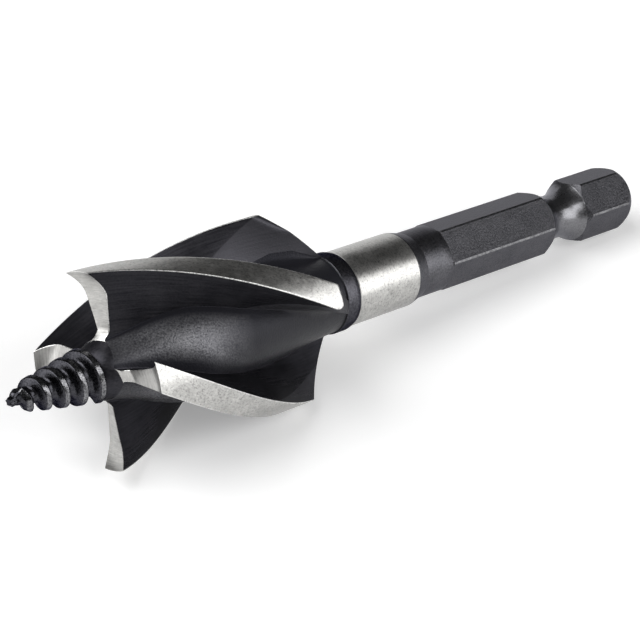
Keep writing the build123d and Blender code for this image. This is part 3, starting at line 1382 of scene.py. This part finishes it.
    def behind(self, place: bpy.types.NodeSocket, facet: RunOut) -> bpy.types.NodeSocket:
        """How far a place lies on a run-out facet, from 0 in front of its edge to 1 behind it.

        Args:
            place: Place on the bit, in millimetres.
            facet: The facet.

        Returns:
            The share.
        """
        height = self.add("ShaderNodeSeparateXYZ", Vector=place).outputs["Z"]
        shifted = self.maths("SUBTRACT", height, self.maths("MULTIPLY", self.radius(place), facet.slope))
        edge = facet.place - facet.slope * facet.radius
        return self.between(shifted, edge - facet.soft, edge + facet.soft, 0.0, 1.0)

    def bump(self, height: bpy.types.NodeSocket, strength: float, depth: float) -> None:
        """Presses a relief into the surface, its depth in millimetres."""
        node = self.add("ShaderNodeBump", Height=height, Strength=strength,
                        Distance=depth * METRES_PER_MILLIMETRE)
        self.feed(self.shader.inputs["Normal"], node.outputs[0])

    def metal(self, amount: float, gloss: float) -> None:
        """Sets how metallic the surface is and its plain specular level."""
        self.shader.inputs["Metallic"].default_value = amount
        self.shader.inputs["Specular IOR Level"].default_value = gloss


@dataclass(frozen=True)
class PaintedHighlight:
    """Painted highlight in the middle of each flute: a brighter, more metallic patch, outside which the
    colour is a darker, less metallic painted shade.

    Attributes:
        start: Where it starts along the bit's axis, in millimetres.
        end: Where it ends along the axis.
        soft: Reach of its fading on either side of its start and end.
        middle: Its middle round the axis, in degrees from the leading edge in front of it.
        core: Half of its even width, in degrees.
        reach: Half of the width at which it has faded away, in degrees.
    """

    start: float = 2.5
    end: float = 12.2
    soft: float = 3.2
    middle: float = 55.0
    core: float = 8.0
    reach: float = 29.0

    def dull(self, nodes: Nodes, place: bpy.types.NodeSocket) -> bpy.types.NodeSocket:
        """How far a place lies in the painted shade, from 0 in the painted highlight to 1 away from it.

        Args:
            nodes: The material's nodes.
            place: Place on the bit, in millimetres.

        Returns:
            The share.
        """
        parts = nodes.add("ShaderNodeSeparateXYZ", Vector=nodes.untwisted(place)).outputs
        ahead = nodes.between(parts["Z"], self.start - self.soft, self.start + self.soft, 1.0, 0.0)
        behind = nodes.between(parts["Z"], self.end - self.soft, self.end + self.soft, 0.0, 1.0)
        angle = nodes.maths("ARCTAN2", parts["Y"], parts["X"])
        aside = nodes.maths("SUBTRACT", angle, math.radians(self.middle))
        swing = nodes.maths("COSINE", nodes.maths("MULTIPLY", aside, float(WINGS)))
        edge, even = (math.cos(math.radians(WINGS * half)) for half in (self.reach, self.core))
        beside = nodes.between(swing, edge, even, 1.0, 0.0)
        return nodes.maths("MAXIMUM", beside, nodes.maths("MAXIMUM", ahead, behind))


@dataclass(frozen=True)
class BlackOxide:
    """Black oxide over machined steel.

    Attributes:
        name: Name of the finish.
        dark: Colour in the darker patches, which is that of the reflection where the finish is metallic.
        light: Colour in the lighter patches.
        facet: Colour on the run-out facet, or of the painted shade away from the painted highlight.
        smooth: Roughness of the smoother patches.
        coarse: Roughness of the coarser patches.
        metallic: Share of metal in the finish, and in the painted highlight where there is one.
        facet_metallic: Share of metal on the run-out facet, or in the painted shade away from the painted
            highlight.
        grazing: Tint of the reflection at grazing angles.
        lines: Share of machining lines along the flutes in the relief, the rest being an even grain.
        relief_depth: Depth of the relief, in millimetres.
        relief_strength: Strength of the relief, from 0 to 1.
        relief_share: Share of the relief in the patches of colour and roughness.
        grain_scale: Fineness of the grain.
        line_scale: Fineness of the machining lines.
        line_stretch: Scale along the machining lines.
        patch_scale: Fineness of the large patches.
        colour_range: Range of the patches in which the colour changes.
        rough_range: Range of the patches in which the roughness changes.
        run_out: The facet where the cutter ran out, if there is one.
        painted_highlight: The painted highlight in each flute, with painted shade round it, if there is one.
    """

    name: str
    dark: Shade = (0.046, 0.046, 0.053)
    light: Shade = (0.094, 0.093, 0.104)
    facet: Shade = (0.085, 0.083, 0.095)
    smooth: float = 0.34
    coarse: float = 0.44
    metallic: float = 1.0
    facet_metallic: float = 1.0
    grazing: Shade = (0.25, 0.25, 0.28)
    lines: float = 0.5
    relief_depth: float = 0.035
    relief_strength: float = 0.7
    relief_share: float = 0.7
    grain_scale: float = 5.5
    line_scale: float = 5.0
    line_stretch: float = 0.06
    patch_scale: float = 0.35
    colour_range: tuple[float, float] = (0.36, 0.64)
    rough_range: tuple[float, float] = (0.38, 0.62)
    run_out: RunOut | None = None
    painted_highlight: PaintedHighlight | None = None

    def material(self) -> bpy.types.Material:
        """Lays out the finish.

        Returns:
            The material.
        """
        nodes = Nodes(self.name)
        place = nodes.bit_place()
        grain = nodes.noise(place, self.grain_scale, detail=2.0, rough=0.6)
        patches = nodes.noise(place, self.patch_scale, detail=3.0)
        drawn = nodes.stretched(nodes.untwisted(place), (1.0, 1.0, self.line_stretch))
        streaks = nodes.noise(drawn, self.line_scale, detail=4.0, rough=0.6)
        relief = nodes.blend(self.lines, grain, streaks)
        mix = nodes.blend(self.relief_share, patches, relief)
        share = nodes.between(mix, *self.colour_range, 0.0, 1.0)
        colour = nodes.mixed(share, self.dark, self.light)
        nodes.metal(self.metallic, gloss=1.0)
        # A run-out facet gets its own colour and metal share; a painted highlight is painted brighter and
        # more metallic, with painted shade away from it.
        if self.run_out or self.painted_highlight:
            other = self.painted_highlight.dull(nodes, place) if self.painted_highlight else nodes.behind(place, self.run_out)
            colour = nodes.mixed(other, colour, self.facet)
            metallic = nodes.between(other, 0.0, 1.0, self.metallic, self.facet_metallic)
            nodes.feed(nodes.shader.inputs["Metallic"], metallic)
        nodes.feed(nodes.shader.inputs["Base Color"], colour)
        roughness = nodes.between(mix, *self.rough_range, self.smooth, self.coarse)
        nodes.feed(nodes.shader.inputs["Roughness"], roughness)
        nodes.shader.inputs["Specular Tint"].default_value = (*self.grazing, 1)
        nodes.bump(relief, self.relief_strength, self.relief_depth)
        return nodes.material


@dataclass(frozen=True)
class GroundSteel:
    """Bare steel left by grinding, with fine lines and small dark pits.

    Attributes:
        name: Name of the finish.
        dull: Colour of the duller patches.
        bright: Colour of the brighter patches.
        pit: Colour of the pits.
        smooth: Roughness of the smoother patches.
        coarse: Roughness of the coarser patches.
        stretch: How the grinding lines run, as scales along the run's own axes.
        run: What the grinding lines follow.
        pits: Strength of the pits, from 0 to 1.
        pit_depth: Depth of the pits, as a share of the lines' depth.
        line_depth: Depth of the lines, in millimetres.
        line_strength: Strength of the relief, from 0 to 1.
        patch_share: Share of the large patches in the colour and roughness.
        line_scale: Fineness of the lines.
        patch_scale: Fineness of the large patches.
        pit_scale: Fineness of the pits.
        pit_range: Range of the pits' noise in which the steel turns to pit.
        patch_range: Range of the patches in which colour and roughness change.
    """

    name: str
    dull: Shade = (0.33, 0.325, 0.316)
    bright: Shade = (0.55, 0.545, 0.527)
    pit: Shade = (0.10, 0.10, 0.10)
    smooth: float = 0.28
    coarse: float = 0.38
    stretch: tuple[float, float, float] = (1.0, 1.0, 1.0)
    run: Run = Run.AXES
    pits: float = 0.3
    pit_depth: float = 0.6
    line_depth: float = 0.012
    line_strength: float = 0.5
    patch_share: float = 0.4
    line_scale: float = 6.0
    patch_scale: float = 0.8
    pit_scale: float = 4.6
    pit_range: tuple[float, float] = (0.53, 0.66)
    patch_range: tuple[float, float] = (0.36, 0.64)

    def material(self) -> bpy.types.Material:
        """Lays out the finish.

        Returns:
            The material.
        """
        nodes = Nodes(self.name)
        place = nodes.bit_place()
        drawn = nodes.stretched(nodes.along(place, self.run), self.stretch)
        lines = nodes.noise(drawn, self.line_scale, detail=3.0, rough=0.65)
        patches = nodes.noise(place, self.patch_scale, detail=4.0, rough=0.6)
        specks = nodes.noise(place, self.pit_scale, detail=2.0, rough=0.7)
        pitted = nodes.between(specks, *self.pit_range, 0.0, self.pits)
        mix = nodes.blend(self.patch_share, lines, patches)
        share = nodes.between(mix, *self.patch_range, 0.0, 1.0)
        clean = nodes.mixed(share, self.dull, self.bright)
        roughness = nodes.between(mix, *self.patch_range, self.smooth, self.coarse)
        nodes.feed(nodes.shader.inputs["Base Color"], nodes.mixed(pitted, clean, self.pit))
        nodes.feed(nodes.shader.inputs["Roughness"], roughness)
        nodes.metal(1.0, gloss=0.5)
        relief = nodes.maths("SUBTRACT", lines, nodes.maths("MULTIPLY", pitted, self.pit_depth))
        nodes.bump(relief, self.line_strength, self.line_depth)
        return nodes.material


def finishes() -> dict[Zone, bpy.types.Material]:
    """Material of every zone.

    Returns:
        The materials, by zone.
    """
    wing = Wing()
    return {
        # Flute floors carry a painted highlight in the light colour in the middle of each flute, and painted
        # shade in the facet colour round it.
        Zone.FLOOR: BlackOxide("flute_black_oxide", lines=0.2, dark=(0.050, 0.050, 0.056),
                               light=(0.205, 0.204, 0.214), facet=(0.013, 0.013, 0.016),
                               metallic=0.85, facet_metallic=0.1, grazing=(0.10, 0.10, 0.12),
                               relief_depth=0.06, painted_highlight=PaintedHighlight()).material(),
        Zone.RAKE: BlackOxide("rake_black_oxide", lines=0.7, dark=(0.014, 0.014, 0.017),
                              light=(0.038, 0.037, 0.043), facet=(0.040, 0.039, 0.045),
                              metallic=0.8, facet_metallic=0.7, run_out=wing.lead_run_out).material(),
        Zone.BACK: BlackOxide("back_black_oxide", lines=0.7, dark=(0.018, 0.018, 0.022),
                              light=(0.046, 0.045, 0.051), facet=(0.052, 0.051, 0.058),
                              metallic=0.8, facet_metallic=0.6, run_out=wing.back_run_out).material(),
        Zone.NECK: BlackOxide("neck_black_oxide", lines=0.0, dark=(0.035, 0.035, 0.04)).material(),
        Zone.SCREW: BlackOxide("screw_black_oxide", lines=0.0, dark=(0.024, 0.024, 0.028),
                               light=(0.070, 0.070, 0.078), smooth=0.22, coarse=0.34,
                               relief_depth=0.025).material(),
        Zone.CREST: BlackOxide("worn_crest", lines=0.0, dark=(0.05, 0.05, 0.055),
                               light=(0.26, 0.26, 0.27), smooth=0.16, coarse=0.26,
                               relief_depth=0.025).material(),
        Zone.SHANK: BlackOxide("shank_black_oxide", lines=0.0, dark=(0.056, 0.056, 0.062),
                               light=(0.114, 0.113, 0.122), grazing=(0.7, 0.7, 0.73),
                               relief_depth=0.04).material(),
        Zone.CORNER: GroundSteel("worn_hex_corner", dull=(0.06, 0.06, 0.065), bright=(0.26, 0.26, 0.27),
                                 pits=0.5).material(),
        Zone.GROOVE: BlackOxide("worn_groove", lines=0.0, dark=(0.14, 0.14, 0.148),
                                light=(0.20, 0.20, 0.21), smooth=0.27, coarse=0.32,
                                grazing=(0.7, 0.7, 0.74), relief_depth=0.006).material(),
        Zone.MARGIN: GroundSteel("ground_margin", stretch=(1.0, 1.0, 0.5), run=Run.FLUTES,
                                 pits=0.5).material(),
        Zone.FACE: GroundSteel("ground_front", stretch=(1.5, 0.5, 0.5), run=Run.TURNED,
                               pits=0.15).material(),
        # Edges: real ground steel, with a painted glint in the near-white colour along them.
        Zone.EDGE: GroundSteel("bright_edge", dull=(0.45, 0.45, 0.44), bright=(0.90, 0.90, 0.88),
                               pits=0.7).material(),
        Zone.COLLAR: GroundSteel("satin_collar", stretch=(0.4, 0.4, 1.0), pits=0.5).material(),
    }


@dataclass(frozen=True)
class Softbox:
    """A large even light that stands round the bit.

    Attributes:
        name: Name of the light.
        azimuth: Where it stands round the bit, in degrees from the row's x axis.
        rise: How high its middle stands over the floor, in degrees.
        width: Its width, in millimetres.
        height: Its height, in millimetres.
        brightness: Brightness of its face, where a white surface in full daylight would be 1.
        distance: How far it stands from the bit, in millimetres.
    """

    name: str
    azimuth: float
    rise: float
    width: float
    height: float
    brightness: float
    distance: float = 600

    def direction(self) -> Vector:
        """Direction from the bit to the light."""
        round_bit, up = math.radians(self.azimuth), math.radians(self.rise)
        return Vector((math.cos(up) * math.cos(round_bit), math.cos(up) * math.sin(round_bit), math.sin(up)))


@dataclass
class Studio:
    """Pale floor, softboxes and the camera at the photograph's angle.

    Lengths are in millimetres and angles in degrees.

    Attributes:
        camera_place: Where the camera stands.
        camera_turn: Its turn about the vertical.
        camera_rise: How far it looks down from level.
        camera_roll: Its roll about its own line of sight.
        lens: Its focal length.
        sensor: Width of its sensor.
        clip: Nearest and furthest distance that it sees.
        floor_size: Length of the floor's sides.
        floor_shade: The floor's colour.
        floor_patch: How dark the floor's faint patches are, as a share of its colour.
        floor_patch_scale: How close together those patches lie.
        floor_roughness: The floor's roughness.
        floor_gloss: The floor's specular level.
        floor_glow: Strength of the light that lifts the floor to a paper white.
        sky_strength: Strength of the even light from all round.
    """

    camera_place: tuple[float, float, float] = (-143.28, -135.96, 145.49)
    camera_turn: float = -45.954
    camera_rise: float = 35.763
    camera_roll: float = -6.703
    lens: float = 135.463
    sensor: float = 36.0
    clip: tuple[float, float] = (5.0, 10000.0)
    floor_size: float = 6000.0
    floor_shade: Shade = (0.86, 0.86, 0.86)
    floor_patch: float = 0.98
    floor_patch_scale: float = 0.02
    floor_roughness: float = 0.9
    floor_gloss: float = 0.1
    floor_glow: float = 0.30
    sky_strength: float = 0.06

    def add_camera(self) -> None:
        """Sets the camera up."""
        data = bpy.data.cameras.new("photo_camera")
        data.sensor_width = self.sensor
        data.lens = self.lens
        data.clip_start, data.clip_end = (reach * METRES_PER_MILLIMETRE for reach in self.clip)
        camera = bpy.data.objects.new("photo_camera", data)
        turn = (Matrix.Rotation(math.radians(self.camera_turn), 4, "Z")
                @ Matrix.Rotation(math.radians(90 - self.camera_rise), 4, "X")
                @ Matrix.Rotation(math.radians(-self.camera_roll), 4, "Z"))
        place = Vector(self.camera_place) * METRES_PER_MILLIMETRE
        camera.matrix_world = Matrix.Translation(place) @ turn
        bpy.context.scene.collection.objects.link(camera)
        bpy.context.scene.camera = camera

    def add_floor(self) -> None:
        """Lays the pale floor."""
        half = self.floor_size * METRES_PER_MILLIMETRE / 2
        mesh = bpy.data.meshes.new("floor")
        corners = [(-half, -half, 0), (half, -half, 0), (half, half, 0), (-half, half, 0)]
        mesh.from_pydata(corners, [], [(0, 1, 2, 3)])
        nodes = Nodes("pale_floor")
        shade = nodes.noise(nodes.bit_place(), self.floor_patch_scale)
        darker = tuple(self.floor_patch * part for part in self.floor_shade)
        nodes.feed(nodes.shader.inputs["Base Color"], nodes.mixed(shade, darker, self.floor_shade))
        nodes.shader.inputs["Roughness"].default_value = self.floor_roughness
        nodes.shader.inputs["Emission Color"].default_value = (1, 1, 1, 1)
        nodes.shader.inputs["Emission Strength"].default_value = self.floor_glow
        nodes.metal(0.0, gloss=self.floor_gloss)
        mesh.materials.append(nodes.material)
        floor = bpy.data.objects.new("floor", mesh)
        bpy.context.scene.collection.objects.link(floor)

    def add_softbox(self, box: Softbox) -> None:
        """Adds a softbox that faces the middle of the bit.

        Args:
            box: The softbox.
        """
        data = bpy.data.lights.new(box.name, "AREA")
        data.shape = "RECTANGLE"
        data.size = box.width * METRES_PER_MILLIMETRE
        data.size_y = box.height * METRES_PER_MILLIMETRE
        data.energy = math.pi * data.size * data.size_y * box.brightness
        light = bpy.data.objects.new(box.name, data)
        middle = (CAD_LOW + CAD_HIGH) / 2
        light.location = middle + box.direction() * box.distance * METRES_PER_MILLIMETRE
        light.rotation_euler = (middle - light.location).to_track_quat("-Z", "Y").to_euler()
        bpy.context.scene.collection.objects.link(light)

    def add_sky(self) -> None:
        """Lights the scene evenly from all round."""
        world = bpy.data.worlds.new("studio")
        world.use_nodes = True
        background = world.node_tree.nodes["Background"]
        background.inputs["Color"].default_value = (1, 1, 1, 1)
        background.inputs["Strength"].default_value = self.sky_strength
        bpy.context.scene.world = world

    def build(self) -> None:
        """Sets up the whole studio."""
        self.add_camera()
        self.add_floor()
        self.add_sky()
        for box in (
            Softbox("key_softbox", azimuth=158, rise=53, width=500, height=500, brightness=4.1),
            Softbox("right_softbox", azimuth=-54, rise=17, width=480, height=360, brightness=3.5),
            Softbox("high_softbox", azimuth=-80, rise=44, width=320, height=240, brightness=3.4),
            Softbox("left_softbox", azimuth=150, rise=9, width=520, height=280, brightness=2.8),
            Softbox("back_softbox", azimuth=48, rise=9, width=420, height=240, brightness=0.95),
        ):
            self.add_softbox(box)
        bpy.context.scene.view_settings.view_transform = "Standard"


def main() -> None:
    """Builds the bit piece by piece, sets it in the studio and reports each piece."""
    materials = finishes()
    for part in (LeadScrew(), FlutedHead(), Collar(), HexShank()):
        piece = part.build().finished(materials)
        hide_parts(BIT_NODE)
        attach(piece, BODY)
        LOG.info("%s: %d faces, finishes %s", piece.name, len(piece.data.polygons),
                 ", ".join(slot.name for slot in piece.data.materials))
    Studio().build()


if __name__ == "__main__":
    logging.basicConfig(level=logging.INFO, format="%(name)s %(message)s")
    main()
